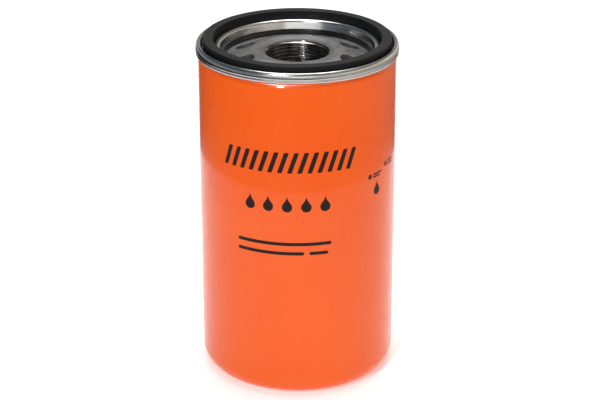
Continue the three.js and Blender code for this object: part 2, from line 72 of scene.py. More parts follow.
shell, lid, gasket = extent("can_shell"), extent("retainer_lid"), extent("sealing_gasket")
compound, ring, plate = extent("seam_compound"), extent("plate_seal_ring"), extent("thread_plate")
valve, paper = extent("drainback_valve"), extent("pleated_media")
upper_cap, lower_cap = extent("upper_end_cap"), extent("lower_end_cap")
upper_glue, lower_glue = extent("upper_potting"), extent("lower_potting")
clip, tube = extent("media_side_clip"), extent("centre_tube")
bypass, cage = extent("bypass_body"), extent("bypass_cage")
poppet, seal = extent("bypass_poppet"), extent("bypass_seal")
bypass_coil, support_coil = extent("bypass_spring"), extent("support_spring")
seat = extent("spring_seat")

FIT = 0.3  # gap between neighbours that touch on the real filter
FLANGE_REACH = 0.5  # the can's flange beyond its side
CAN_WALL = 0.8
CAN_R = shell.outer - FLANGE_REACH
THREAD_PITCH = 25.4 / 12
THREAD_DEPTH = 1.0
THREAD_MAJOR_R = plate.inner + THREAD_DEPTH
RING_LIP = 0.95  # the plate's floor starts this far inside the foot of the lid's wall
PLATE_FLOOR_R = lid.inner - RING_LIP


# ---------------------------------------------------------------- outlines and meshes

def rounded(path, steps=7):
    """The path's points, with an arc in place of each corner that has a bend radius."""
    made = []
    for i, (r, z, *bend) in enumerate(path):
        if not bend:
            made.append((r, z))
            continue
        corner = np.array([r, z])
        back = np.array(path[i - 1][:2]) - corner
        ahead = np.array(path[(i + 1) % len(path)][:2]) - corner
        back, ahead = back / np.linalg.norm(back), ahead / np.linalg.norm(ahead)
        half = math.acos(np.clip(back @ ahead, -1, 1)) / 2
        middle = back + ahead
        centre = corner + middle / np.linalg.norm(middle) * bend[0] / math.sin(half)
        start = corner + back * bend[0] / math.tan(half) - centre
        end = corner + ahead * bend[0] / math.tan(half) - centre
        turn = math.atan2(start[0] * end[1] - start[1] * end[0], start @ end)
        for a in np.linspace(0, turn, steps + 1):
            c, s = math.cos(a), math.sin(a)
            made.append(tuple(centre + [start[0] * c - start[1] * s, start[0] * s + start[1] * c]))
    return made


def flowing(points, steps=5):
    """A smooth curve through the points."""
    p = np.array([points[0], *points, points[-1]], float)
    made = []
    for a, b, c, d in zip(p, p[1:], p[2:], p[3:]):
        for t in np.arange(steps) / steps:
            made.append(tuple(0.5 * (2 * b + (c - a) * t + (2 * a - 5 * b + 4 * c - d) * t**2
                                     + (3 * b - a - 3 * c + d) * t**3)))
    return made + [tuple(p[-1])]


def unit(rows):
    """Each row as a vector of length 1."""
    return rows / np.linalg.norm(rows, axis=1)[:, None]


def sheet(middle, thickness):
    """The closed outline of a sheet of metal whose middle follows the path."""
    m = np.array(middle)
    step = unit(np.diff(m, axis=0))
    before, after = np.vstack([step[:1], step]), np.vstack([step, step[-1:]])
    along = unit(before + after)
    across = np.stack([-along[:, 1], along[:, 0]], 1)
    sharpest = 0.3  # keeps the sheet from growing long points at sharp bends
    across *= (thickness / 2 / np.maximum((along * before).sum(1), sharpest))[:, None]
    return [tuple(p) for p in np.vstack([m + across, (m - across)[::-1]])]


def anticlockwise(outline):
    p = np.array(outline)
    area = (p[:, 0] * np.roll(p[:, 1], -1) - p[:, 1] * np.roll(p[:, 0], -1)).sum()
    return outline[::-1] if area < 0 else outline


def supported(outline, closed):
    """Adds points near both ends of each long stretch, so that smooth shading stays flat along it."""
    near, shortest = 0.2, 0.9
    made = []
    for i, p in enumerate(outline):
        made.append(p)
        if not closed and i == len(outline) - 1:
            continue
        a, b = np.array(p), np.array(outline[(i + 1) % len(outline)])
        length = np.linalg.norm(b - a)
        if length > shortest:
            made += [tuple(a + (b - a) * near / length), tuple(b + (a - b) * near / length)]
    return made


def around(radius, height, angle):
    """Points at angles about Z. The radius and the height may differ from point to point."""
    return np.stack([radius * np.cos(angle), radius * np.sin(angle), height + 0 * angle], 1)


def circle(radius, height, segments):
    return around(radius, height, np.arange(segments) * TAU / segments)


def loft(rows, wrap=True):
    """Quads between successive rows of points, each a closed loop where wrap is set."""
    rows = np.asarray(rows, float)
    m, n = rows.shape[:2]
    i, j = np.meshgrid(np.arange(m - 1), np.arange(n if wrap else n - 1), indexing="ij")
    a, b = i * n + j, i * n + (j + 1) % n
    return rows.reshape(-1, 3), np.stack([a, b, b + n, a + n], -1).reshape(-1, 4)


def turned(outline, segments):
    """A body of revolution, from a closed outline or from one that starts and ends on the axis."""
    outline = anticlockwise(outline)
    closed = max(outline[0][0], outline[-1][0]) > SAME
    outline = supported(outline, closed)
    if closed:
        outline.append(outline[0])
    return loft([circle(r, z, segments) for r, z in outline])


def perforated(outer, inner, hole, span, rows, count, cell_steps):
    """The wall of a tube with a hole in the middle of each cell. Cells are laid like bricks. hole
    gives the hole's points, from directions seen from its middle, and span is (lowest, highest)."""
    radius = (outer + inner) / 2
    width, height = TAU * radius / count, (span[1] - span[0]) / rows
    u, v = width / 2, height / 2
    t = np.arange(cell_steps) / cell_steps * 2
    edge = np.concatenate([
        np.stack([-u + t * u, np.full(cell_steps, -v)], 1),
        np.stack([np.full(cell_steps, u), -v + t * v], 1),
        np.stack([u - t * u, np.full(cell_steps, v)], 1),
        np.stack([np.full(cell_steps, -u), v - t * v], 1),
    ])
    rim = hole(unit(edge))
    rings = [edge + (rim - edge) * s for s in (0, 0.5, 0.85, 1)]
    parts = []
    for row in range(rows):
        for k in range(count):
            at = (k + row % 2 / 2) * width
            loops = []
            for face, order in ((outer, rings), (inner, rings[::-1])):
                for loop in order:
                    z = span[0] + v + row * height + loop[:, 1]
                    loops.append(around(face, z, (loop[:, 0] + at) / radius))
            parts.append(loft(loops))
    return parts


def coil(radius, wire, turns, low, high, sides=20, per_turn=48):
    """A compression spring with one closed turn at each end, its ends ground flat."""
    ground, closed_pitch = 0.22 * wire, 1.06 * wire
    turn = np.linspace(0, turns, turns * per_turn + 1)
    closed = np.minimum(turn, 1) + np.maximum(turn - turns + 1, 0)
    opened = np.clip((turn - 1) / (turns - 2), 0, 1)
    easing = 0.25  # of the pitch at both ends of the open turns
    opened = opened * opened * (3 - 2 * opened) * easing + opened * (1 - easing)
    bottom, top = low + wire / 2 - ground, high - wire / 2 + ground
    z = bottom + closed * closed_pitch + opened * (top - bottom - 2 * closed_pitch)
    angle = turn * TAU
    middle, out, up = around(radius, z, angle), around(1, 0, angle), np.array([0, 0, 1.0])
    rows = [np.repeat(middle[:1], sides, 0)]
    for m, o in zip(middle, out):
        a = np.arange(sides) * TAU / sides
        rows.append(m + wire / 2 * (np.cos(a)[:, None] * o + np.sin(a)[:, None] * up))
    rows.append(np.repeat(middle[-1:], sides, 0))
    points, faces = loft(rows)
    points[:, 2] = np.clip(points[:, 2], low, high)
    return points, faces[:, ::-1]


def placed(name, data):
    """A new object in the scene."""
    made = bpy.data.objects.new(name, data)
    bpy.context.scene.collection.objects.link(made)
    return made


def piece(name, parts, looks, body, replaced, crease=32):
    """A piece from (points, faces) parts in millimetres, whose shared points are joined."""
    points, faces, count = [], [], 0
    for p, f in parts:
        points.append(np.asarray(p) * MM)
        faces += [[int(i) + count for i in face] for face in f]
        count += len(p)
    mesh = bpy.data.meshes.new(name)
    mesh.from_pydata(np.concatenate(points).tolist(), [], faces)
    work = bmesh.new()
    work.from_mesh(mesh)
    bmesh.ops.remove_doubles(work, verts=work.verts, dist=2e-6)
    bmesh.ops.dissolve_degenerate(work, edges=work.edges, dist=1e-7)
    loose = [v for v in work.verts if not v.link_faces]
    bmesh.ops.delete(work, geom=loose, context="VERTS")
    work.to_mesh(mesh)
    work.free()
    mesh.shade_smooth()
    mesh.set_sharp_from_angle(angle=math.radians(crease))
    for look in looks:
        mesh.materials.append(look)
    made = placed(name, mesh)
    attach(made, body)
    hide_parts(replaced)
    return made


# ---------------------------------------------------------------- materials

class Nodes:
    """The nodes of a material or a world."""

    def __init__(self, tree):
        self.tree = tree

    def add(self, kind, settings=None, **inputs):
        """A new node's outputs. An input goes by its name with underscores, or as i0, i1 by its place."""
        node = self.tree.nodes.new("ShaderNode" + kind)
        for key, value in (settings or {}).items():
            setattr(node, key, value)
        for key, value in inputs.items():
            by_place = key[0] == "i" and key[1:].isdigit()
            target = node.inputs[int(key[1:]) if by_place else key.replace("_", " ")]
            if isinstance(value, bpy.types.NodeSocket):
                self.tree.links.new(value, target)
            else:
                target.default_value = value
        return node.outputs

    def math(self, operation, a, b=0.0):
        return self.add("Math", {"operation": operation}, i0=a, i1=b)[0]

    def mixed(self, a, share_a, b, share_b):
        return self.math("ADD", self.math("MULTIPLY", a, share_a), self.math("MULTIPLY", b, share_b))

    def spread(self, value, low, high, to_low, to_high):
        return self.add("MapRange", Value=value, From_Min=low, From_Max=high, To_Min=to_low,
                        To_Max=to_high)[0]

    def colours(self, value, *stops):
        ramp = self.tree.nodes.new("ShaderNodeValToRGB")
        self.tree.links.new(value, ramp.inputs[0])
        stored = ramp.color_ramp.elements
        for i, (at, colour) in enumerate(stops):
            stop = stored[i] if i < len(stored) else stored.new(at)
            stop.position = at
            stop.color = (*colour, 1)
        return ramp.outputs[0]


class Look(Nodes):
    """A node material. Keywords set the shader's own sockets; patterns are linked afterwards."""

    def __init__(self, name, **fixed):
        self.material = bpy.data.materials.new(name)
        self.material.use_nodes = True
        super().__init__(self.material.node_tree)
        self.shader = self.tree.nodes["Principled BSDF"]
        for key, value in fixed.items():
            self.shader.inputs[key.replace("_", " ")].default_value = value
        self.place = self.add("TexCoord")["Object"]

    def polar(self, round_scale, radius_scale, height_scale):
        """Coordinates in which a pattern can run round the axis, with a scale each for the way round,
        the radius and the height."""
        x, y, z = self.add("SeparateXYZ", Vector=self.place)
        squares = self.math("ADD", self.math("MULTIPLY", x, x), self.math("MULTIPLY", y, y))
        radius = self.math("SQRT", squares)
        # The sine and cosine of the way round keep a pattern whole where the angle starts again.
        across = self.math("MULTIPLY", self.math("DIVIDE", x, radius), round_scale)
        along = self.math("MULTIPLY", self.math("DIVIDE", y, radius), round_scale)
        return self.add("CombineXYZ", X=across, Y=along,
                        Z=self.mixed(radius, radius_scale, z, height_scale))[0]

    def noise(self, scale, detail=3.0, roughness=0.55, at=None):
        return self.add("TexNoise", Vector=at or self.place, Scale=scale, Detail=detail,
                        Roughness=roughness)["Fac"]

    def cells(self, scale):
        return self.add("TexVoronoi", Vector=self.place, Scale=scale)["Distance"]

    def drive(self, socket, value):
        self.tree.links.new(value, self.shader.inputs[socket])

    def tint(self, pattern, *stops):
        self.drive("Base Color", self.colours(pattern, *stops))

    def roughen(self, pattern, low, high):
        self.drive("Roughness", self.spread(pattern, 0.3, 0.7, low, high))

    def bump(self, height, distance, under=None):
        inputs = {"Normal": under} if under is not None else {}
        return self.add("Bump", Height=height, Distance=distance, **inputs)["Normal"]


def orange_enamel():
    look = Look("orange_enamel", Specular_IOR_Level=0.18, Coat_Weight=0.35, Coat_Roughness=0.04)
    patches = look.noise(9, 4)
    look.tint(patches, (0.3, (0.75, 0.088, 0.003)), (0.7, (0.80, 0.102, 0.004)))
    look.roughen(look.noise(60, 4), 0.2, 0.3)
    peel = look.bump(look.noise(420, 2), 0.000012)
    look.drive("Normal", look.bump(look.noise(45, 2), 0.00005, under=peel))
    return look.material


def tinplate(name="tinplate", dark=0.38, light=0.56, rough=(0.13, 0.25)):
    look = Look(name, Metallic=1.0)
    streaks = look.noise(1, 5, 0.7, at=look.polar(5, 2600, 2600))
    stains = look.noise(45, 4)
    both = look.mixed(streaks, 0.5, stains, 0.5)
    look.tint(both, (0.3, (dark, dark, dark * 0.97)), (0.68, (light,) * 3))
    look.roughen(both, *rough)
    lines = look.bump(look.noise(1, 2, at=look.polar(3, 5200, 5200)), 0.000006)
    look.drive("Normal", look.bump(look.noise(60, 2), 0.00002, under=lines))
    return look.material


def phosphate():
    look = Look("phosphate", Metallic=0.75)
    crystals = look.cells(1500)
    clouds = look.noise(95, 6, 0.65)
    both = look.mixed(crystals, 0.35, clouds, 0.75)
    look.tint(both, (0.25, (0.12, 0.12, 0.12)), (0.75, (0.25, 0.25, 0.247)))
    look.roughen(clouds, 0.42, 0.62)
    fine = look.bump(crystals, 0.00004)
    look.drive("Normal", look.bump(look.noise(240, 4), 0.00012, under=fine))
    return look.material


def cut_thread():
    look = Look("cut_thread", Metallic=1.0)
    clouds = look.noise(130, 5)
    look.tint(clouds, (0.35, (0.05, 0.04, 0.034)), (0.7, (0.42, 0.38, 0.35)))
    look.roughen(clouds, 0.1, 0.2)
    look.drive("Normal", look.bump(look.noise(1, 2, at=look.polar(6, 9000, 9000)), 0.000008))
    return look.material


def rubber(name, dark, light, rough):
    look = Look(name, Specular_IOR_Level=0.3)
    dust = look.noise(55, 6, 0.7)
    look.tint(dust, (0.35, dark), (0.8, light))
    look.roughen(dust, *rough)
    fine = look.bump(look.noise(900, 3), 0.00005)
    look.drive("Normal", look.bump(look.noise(90, 2), 0.00012, under=fine))
    return look.material


def bare_steel(name, dark, light, rough=(0.25, 0.45)):
    look = Look(name, Metallic=1.0)
    streaks = look.noise(1, 4, 0.65, at=look.polar(8, 3000, 1200))
    look.tint(streaks, (0.3, dark), (0.7, light))
    look.roughen(look.noise(120, 4), *rough)
    look.drive("Normal", look.bump(look.noise(420, 4), 0.00005))
    return look.material


def filter_paper():
    look = Look("filter_paper", Roughness=0.9, Sheen_Weight=0.15)
    fibres = look.noise(1100, 6, 0.75)
    clouds = look.noise(120, 5)
    both = look.mixed(fibres, 0.5, clouds, 0.5)
    look.tint(both, (0.3, (0.50, 0.36, 0.15)), (0.7, (0.74, 0.60, 0.33)))
    ribs = look.add("TexWave", {"bands_direction": "Z"}, Vector=look.place, Scale=190.0, Distortion=0.4)
    look.drive("Normal", look.bump(fibres, 0.00008, under=look.bump(ribs["Fac"], 0.00012)))
    return look.material


def amber_glue():
    look = Look("amber_glue", Coat_Weight=0.3, Subsurface_Weight=0.05)
    clouds = look.noise(80, 5)
    look.tint(clouds, (0.3, (0.42, 0.29, 0.08)), (0.75, (0.62, 0.47, 0.17)))
    look.roughen(clouds, 0.3, 0.5)
    look.drive("Normal", look.bump(look.noise(300, 3), 0.00015))
    return look.material


def printing_ink():
    look = Look("printing_ink", Specular_IOR_Level=0.2)
    wear = look.noise(420, 5, 0.7)
    look.tint(wear, (0.3, (0.006, 0.004, 0.003)), (0.8, (0.020, 0.010, 0.007)))
    look.roughen(wear, 0.4, 0.55)
    look.drive("Normal", look.bump(wear, 0.00002))
    return look.material


def pale_floor():
    look = Look("pale_floor", Specular_IOR_Level=0.2, Emission_Color=(1, 1, 1, 1), Emission_Strength=0.32)
    look.tint(look.noise(2.2, 3), (0.3, (0.92,) * 3), (0.7, (0.94,) * 3))
    look.roughen(look.noise(3, 2), 0.7, 0.8)
    return look.material


ORANGE, TIN, INK = orange_enamel(), tinplate(), printing_ink()
CAN_INSIDE = tinplate("can_inside", 0.30, 0.52, (0.28, 0.46))
PLATE, THREAD = phosphate(), cut_thread()
FACED = bare_steel("faced_steel", (0.22, 0.22, 0.22), (0.40, 0.40, 0.395), (0.3, 0.42))
GASKET_RUBBER = rubber("gasket_rubber", (0.003, 0.003, 0.004), (0.008, 0.008, 0.009), (0.42, 0.58))
SEAL_RUBBER = rubber("seal_rubber", (0.006, 0.006, 0.007), (0.014, 0.014, 0.016), (0.16, 0.3))
VALVE_RUBBER = rubber("valve_rubber", (0.018, 0.015, 0.024), (0.045, 0.04, 0.055), (0.14, 0.28))
SEALANT = rubber("seam_sealant", (0.03, 0.028, 0.026), (0.06, 0.057, 0.052), (0.6, 0.8))
STEEL = bare_steel("rolled_steel", (0.30, 0.30, 0.31), (0.56, 0.56, 0.57))
SPRING_STEEL = bare_steel("spring_steel", (0.07, 0.07, 0.078), (0.19, 0.19, 0.205), (0.22, 0.36))
PAPER, GLUE = filter_paper(), amber_glue()


# ---------------------------------------------------------------- case

def can_shell():
    """Drawn can: painted outside, bare tin inside, with a standing ring and a recessed floor."""
    corner, foot_width, recess, slope_run = 10.5, 8.5, 2.4, 4.5
    half = CAN_WALL / 2
    foot_outer = CAN_R - corner
    foot_inner = foot_outer - foot_width
    side, flange_z = CAN_R - half, shell.high - half
    neck, neck_run, neck_rise = 1.0, 1.8, 1.0  # the side is pressed in a little under the seam
    neck_z = lid.low - 0.1
    middle = rounded([
        (0, recess + half), (foot_inner - slope_run, recess + half, 4), (foot_inner, half, 3),
        (side, half, corner - half), (side, neck_z - neck_run, 1.4), (side - neck, neck_z, 0.5),
        (side, neck_z + neck_rise, 0.8), (side, flange_z, 0.45), (shell.outer, flange_z),
    ], 12)
    made = piece("can_body", [turned(sheet(middle, CAN_WALL), CASE_SEGMENTS)], [ORANGE, CAN_INSIDE],
                 "canister", "can_shell")
    for face in made.data.polygons:
        outward = Vector((face.center.x, face.center.y, 0))
        level = face.normal.z > 0.3 and outward.length < (CAN_R - CAN_WALL) * MM
        inward = face.normal.dot(outward.normalized()) < -0.3 and face.normal.z > -0.55
        if level or inward:
            face.material_index = 1


def retainer_lid():
    """Lid sheet: seam roll, chuck wall, gasket groove, rounded rim and tapered inner wall."""
    thickness, seam_width, hem_inset, shoulder = 0.7, 3.5, 1.05, 1.1
    rim_room, rim_width, rim_drop, seal_overlap = 0.5, 3.8, 4.4, 0.5
    half = thickness / 2
    seam, top = lid.outer - half, lid.high - half
    hem, chuck = seam - hem_inset, lid.outer - seam_width + half
    groove = gasket.low - FIT - half
    rim_outer = gasket.inner - rim_room - half
    rim_inner = gasket.inner - rim_room - rim_width + half
    rim_top = gasket.high - rim_drop - half
    # The seam's side, as distances in from its widest and down from its top.
    pressed = [(0.36, 5.58), (0.08, 4.95), (0.2, 4.15), (0.06, 3.3), (0.08, 2.5), (0.28, 1.5), (0.62, 0.8)]
    roll = flowing([
        (CAN_R + 0.42, lid.high - 5.65), *((seam - inset, lid.high - down) for inset, down in pressed),
        (hem + 0.1, top - 0.1), (hem - 0.45, top), (chuck + 0.4, top - 0.22), (chuck, top - shoulder),
    ], 6)
    rest = rounded([
        (chuck, top - shoulder), (chuck, groove, 0.9), (rim_outer, groove, 0.6), (rim_outer, rim_top, 1.5),
        (rim_inner, rim_top, 1.5), (lid.inner + half, ring.high - seal_overlap),
    ], 9)
    piece("lid_sheet", [turned(sheet(roll[:-1] + rest, thickness), CASE_SEGMENTS)], [TIN], "canister",
          "retainer_lid", crease=50)


def seam_sealant():
    """Bead of sealing compound inside the seam."""
    outline = rounded([(compound.inner, compound.low, 0.15), (compound.outer, compound.low, 0.15),
                       (compound.outer, compound.high, 0.25), (compound.inner, compound.high, 0.25)])
    piece("seam_sealant", [turned(outline, CASE_SEGMENTS)], [SEALANT], "canister", "seam_compound")


def sealing_gasket():
    """Moulded ring with softened edges and a shallow waist on each side."""
    waist = 0.25
    g, middle = gasket, (gasket.low + gasket.high) / 2
    outline = rounded([
        (g.inner, g.low, 0.3), (g.outer, g.low, 0.3), (g.outer - waist, middle, 6), (g.outer, g.high, 0.45),
        (g.inner, g.high, 0.45), (g.inner + waist, middle, 6),
    ], 8)
    piece("gasket", [turned(outline, CASE_SEGMENTS)], [GASKET_RUBBER], "canister", "sealing_gasket")


def plate_seal():
    """Moulded ring round the plate's edge, with a lower step where it shows inside the lid's wall."""
    step_z, step_r, slope = ring.high - 0.8, lid.inner + 1.6, 0.3
    outline = rounded([
        (ring.inner, ring.low, 0.25), (ring.outer, ring.low, 0.3), (ring.outer, ring.high, 0.3),
        (step_r + slope, ring.high, 0.2), (step_r, step_z, 0.1), (lid.inner, step_z, 0.35),
    ])
    piece("plate_seal", [turned(outline, CASE_SEGMENTS)], [SEAL_RUBBER], "canister", "plate_seal_ring")


def plate_profiles():
    """The thread plate's upper and under faces, as rising lists of (radius, height)."""
    sheet_height, cone_run, boss_dip, boss_run, boss_drop = 4.0, 16.35, 1.1, 2.35, 0.3
    collar_wall, under_shift = 3.45, 0.6
    cone_r, cone_z, floor_z = PLATE_FLOOR_R - cone_run, plate.high, ring.low - FIT
    boss_z, middle_z = cone_z - boss_dip, floor_z - sheet_height / 2
    upper = rounded([
        (THREAD_MAJOR_R, boss_z - boss_drop), (THREAD_MAJOR_R + boss_run, boss_z, 0.8), (cone_r, cone_z, 4),
        (PLATE_FLOOR_R, floor_z, 3), (plate.outer, floor_z, 0.5), (plate.outer, middle_z),
    ], 8)
    collar = THREAD_MAJOR_R + collar_wall
    under_cone_z, under_floor_z = cone_z - sheet_height, floor_z - sheet_height
    under = rounded([
        (THREAD_MAJOR_R, plate.low), (collar, plate.low, 0.6), (collar, under_cone_z, 0.6),
        (cone_r - under_shift, under_cone_z, 4), (PLATE_FLOOR_R - under_shift, under_floor_z, 3),
        (plate.outer, under_floor_z, 0.5), (plate.outer, middle_z),
    ], 8)
    return upper, under


def split_at(profile, low, high):
    """The profile's stretches inside radius low and outside radius high, and its height at a radius."""
    p = np.array(profile)
    first = int(np.argmax(p[:, 0] > (low + high) / 2))
    start = max(i for i in range(first) if p[i, 0] < low)
    stop = min(i for i in range(first, len(p)) if p[i, 0] > high)
    line = p[start:stop + 1]

    def height(radius):
        return np.interp(radius, line[:, 0], line[:, 1])

    inside = [tuple(q) for q in p[:start + 1]] + [(low, float(height(low)))]
    outside = [(high, float(height(high)))] + [tuple(q) for q in p[stop:]]
    return inside, outside, height


def port_sector(k, count, low, high, upper, under, segments):
    """The part of the plate round one inlet port, with rounded edges to the hole."""
    port, land, edge, side_steps, bend_steps = 5.7, 3.85, 0.25, 14, 5
    circle_r = PLATE_FLOOR_R - land - port
    a0, a1 = k * TAU / count, (k + 1) * TAU / count
    angle, radius = np.linspace(a0, a1, segments // count + 1), np.linspace(low, high, side_steps + 1)
    outer, inner = around(high, 0, angle)[:, :2], around(low, 0, angle)[:, :2]
    left = np.stack([radius * math.cos(a1), radius * math.sin(a1)], 1)
    right = np.stack([radius * math.cos(a0), radius * math.sin(a0)], 1)
    border = np.concatenate([outer[:-1], left[::-1][:-1], inner[::-1][:-1], right[:-1]])
    centre = circle_r * np.array([math.cos((a0 + a1) / 2), math.sin((a0 + a1) / 2)])
    way = unit(border - centre)

    def row(plan, face, rise):
        return np.column_stack([plan, face(np.hypot(plan[:, 0], plan[:, 1])) + rise])

    lip = centre + way * (port + edge)
    flat = [border + (lip - border) * share for share in (0, 0.12, 0.3, 0.5, 0.7, 0.86, 0.95)]
    bend = [(centre + way * (port + edge - edge * math.sin(b)), edge * (1 - math.cos(b)))
            for b in np.linspace(0, math.pi / 2, bend_steps + 1)]
    rows = [row(plan, upper, 0) for plan in flat] + [row(plan, upper, -rise) for plan, rise in bend]
    rows += [row(plan, under, rise) for plan, rise in bend[::-1]]
    rows += [row(plan, under, 0) for plan in flat[::-1]]
    return loft(rows)


def thread_surface(low, high, segments, per_pitch=16):
    """The bore's wall with a right-handed thread that runs out into a chamfer at each end."""
    lead, flatness = 1.1, 1.5  # a chamfer's height, and how flat crests and roots are
    angle = np.linspace(0, TAU, segments + 1)
    count = int((high - low) / THREAD_PITCH + 2) * per_pitch
    rows = []
    for k in range(count, -1, -1):
        z = low - THREAD_PITCH + k * THREAD_PITCH / per_pitch + THREAD_PITCH * angle / TAU
        z = np.clip(z, low, high)
        wave = np.cos(TAU * (z - low) / THREAD_PITCH - angle)
        depth = 0.5 + 0.5 * np.tanh(flatness * wave) / math.tanh(flatness)
        end = np.minimum(z - low, high - z)
        radius = np.maximum(plate.inner + THREAD_DEPTH * depth, THREAD_MAJOR_R - THREAD_DEPTH * end / lead)
        rows.append(around(radius, z, angle))
    return loft(rows, wrap=False)


def thread_plate():
    """Pressed plate with a crowned boss, a sloping face with eight ports and a threaded collar."""
    ports, low, high = 8, 26.3, 39.7  # the ports lie between the radii low and high
    faced_width, margin = 2.3, 0.05
    upper, under = plate_profiles()
    upper_in, upper_out, upper_z = split_at(upper, low, high)
    under_in, under_out, under_z = split_at(under, low, high)
    rim = upper_out + under_out[::-1][1:]
    parts = [loft([circle(r, z, CASE_SEGMENTS) for r, z in supported(stretch, False)])
             for stretch in (upper_in[::-1], rim[::-1], under_in)]
    parts += [port_sector(k, ports, low, high, upper_z, under_z, CASE_SEGMENTS) for k in range(ports)]
    parts.append(thread_surface(plate.low, upper[0][1], CASE_SEGMENTS))
    made = piece("thread_plate_pressing", parts, [PLATE, THREAD, FACED], "canister", "thread_plate")
    bore, faced = (THREAD_MAJOR_R + margin) * MM, (THREAD_MAJOR_R + faced_width) * MM
    for face in made.data.polygons:
        radius = math.hypot(face.center.x, face.center.y)
        if radius < bore:
            face.material_index = 1
        elif radius < faced and face.normal.z > 0.5:
            face.material_index = 2


def drainback_valve():
    """Rubber hub round the plate's collar, and a conical skirt that rises to a lip under the plate."""
    hub_wall, skirt_wall, sunk, lip_drop, lip_width, edge_wall = 3.6, 1.5, 0.4, 4.25, 1.4, 1.2
    hub, lip, lip_top = valve.inner + hub_wall, valve.outer, ring.low - lip_drop
    foot, edge = valve.low + 0.6, lip_top - 0.3
    piece("drainback_hub", [turned(rounded([
        (valve.inner, valve.low, 0.4), (hub, valve.low, 0.5), (hub, valve.high, 0.4),
        (valve.inner, valve.high, 0.4),
    ]), CORE_SEGMENTS)], [VALVE_RUBBER], "canister", "drainback_valve")
    root, edge_r = hub - sunk, lip - lip_width
    slope = (edge - edge_wall - foot) / (edge_r - hub)
    rib_half, ribs = 0.8, []
    for out in (9.4, 6.3, 3.2):
        r, z = hub + out, foot + 1.35 + slope * out
        ribs += [(r + rib_half, z + rib_half * slope, 0.2), (r + 0.3, z + 0.4, 0.15),
                 (r - 0.3, z + 0.26, 0.15), (r - rib_half, z - rib_half * slope, 0.2)]
    skirt = piece("drainback_skirt", [turned(rounded([
        (root, foot, 0.3), (edge_r, edge - edge_wall, 0.6), (lip, lip_top - 0.9, 0.3),
        (lip, lip_top - 0.18, 0.15), (lip - 0.7, lip_top, 0.25), (edge_r, edge, 0.3), *ribs,
        (hub + 0.3, foot + skirt_wall + 0.3 * slope, 0.3), (root, foot + skirt_wall, 0.2),
    ], 5), CORE_SEGMENTS)], [VALVE_RUBBER], "drainback_diaphragm", "drainback_valve")
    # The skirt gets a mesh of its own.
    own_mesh(skirt)


def spring_seat():
    """Shallow pressed cup that stands on the can's floor and holds the support spring's foot."""
    sheet_height, lip_rise, lip_run = 0.8, 0.5, 1.5
    half = sheet_height / 2
    middle = rounded([
        (seat.inner, seat.low + half + lip_rise), (seat.inner + lip_run, seat.low + half, 1.2),
        (seat.outer - half, seat.low + half, 1.0), (seat.outer - half, seat.high),
    ])
    piece("spring_seat_cup", [turned(sheet(middle, sheet_height), CORE_SEGMENTS)], [TIN], "canister",
          "spring_seat")


def support_spring():
    """Coil that presses the element up against the plate."""
    radius, wire, turns = 24, 3.2, 4
    low, high = support_coil.low, support_coil.high
    made = piece("support_coil", [coil(radius, wire, turns, low, high)], [SPRING_STEEL], "canister",
                 "support_spring")
    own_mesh(made)


# ---------------------------------------------------------------- element

def end_cap(name, cap, node, opening_up):
    """Pressed cap with a rounded edge, a stiffening bead and a skirt. The skirt points to the pleats."""
    sheet_height, bead_height, bead_top, bead_foot, bead_shift = 0.6, 0.7, 1.6, 3.2, 3
    half = sheet_height / 2
    flat, end, way = (cap.low + half, cap.high, 1) if opening_up else (cap.high - half, cap.low, -1)
    rim, bead = cap.outer - half, flat + way * bead_height
    bead_r = (cap.inner + rim) / 2 + bead_shift
    middle = rounded([
        (cap.inner, flat), (bead_r - bead_foot, flat, 0.8), (bead_r - bead_top, bead, 0.8),
        (bead_r + bead_top, bead, 0.8), (bead_r + bead_foot, flat, 0.8), (rim, flat, 1.1), (rim, end),
    ], 5)
    piece(name, [turned(sheet(middle, sheet_height), CORE_SEGMENTS)], [TIN], "element", node)


def potting(name, glue, node, faces_up):
    """Cured adhesive, drawn a little up its edges on the side where the pleats stand in it."""
    climb, climb_run, edge, bead_room = 0.5, 2.5, 0.5, 0.55
    r0, r1 = glue.inner, glue.outer
    free, held = (glue.high, glue.low + bead_room) if faces_up else (glue.low, glue.high - bead_room)
    way = -1 if faces_up else 1
    bottom, shoulder = free + way * climb, free + way * 0.1
    outline = rounded([
        (r0, held), (r1, held), (r1, free), (r1 - edge, shoulder, 0.3), (r1 - climb_run, bottom, 2),
        (r0 + climb_run, bottom, 2), (r0 + edge, shoulder, 0.3), (r0, free),
    ], 5)
    piece(name, [turned(outline, CORE_SEGMENTS)], [GLUE], "element", node)


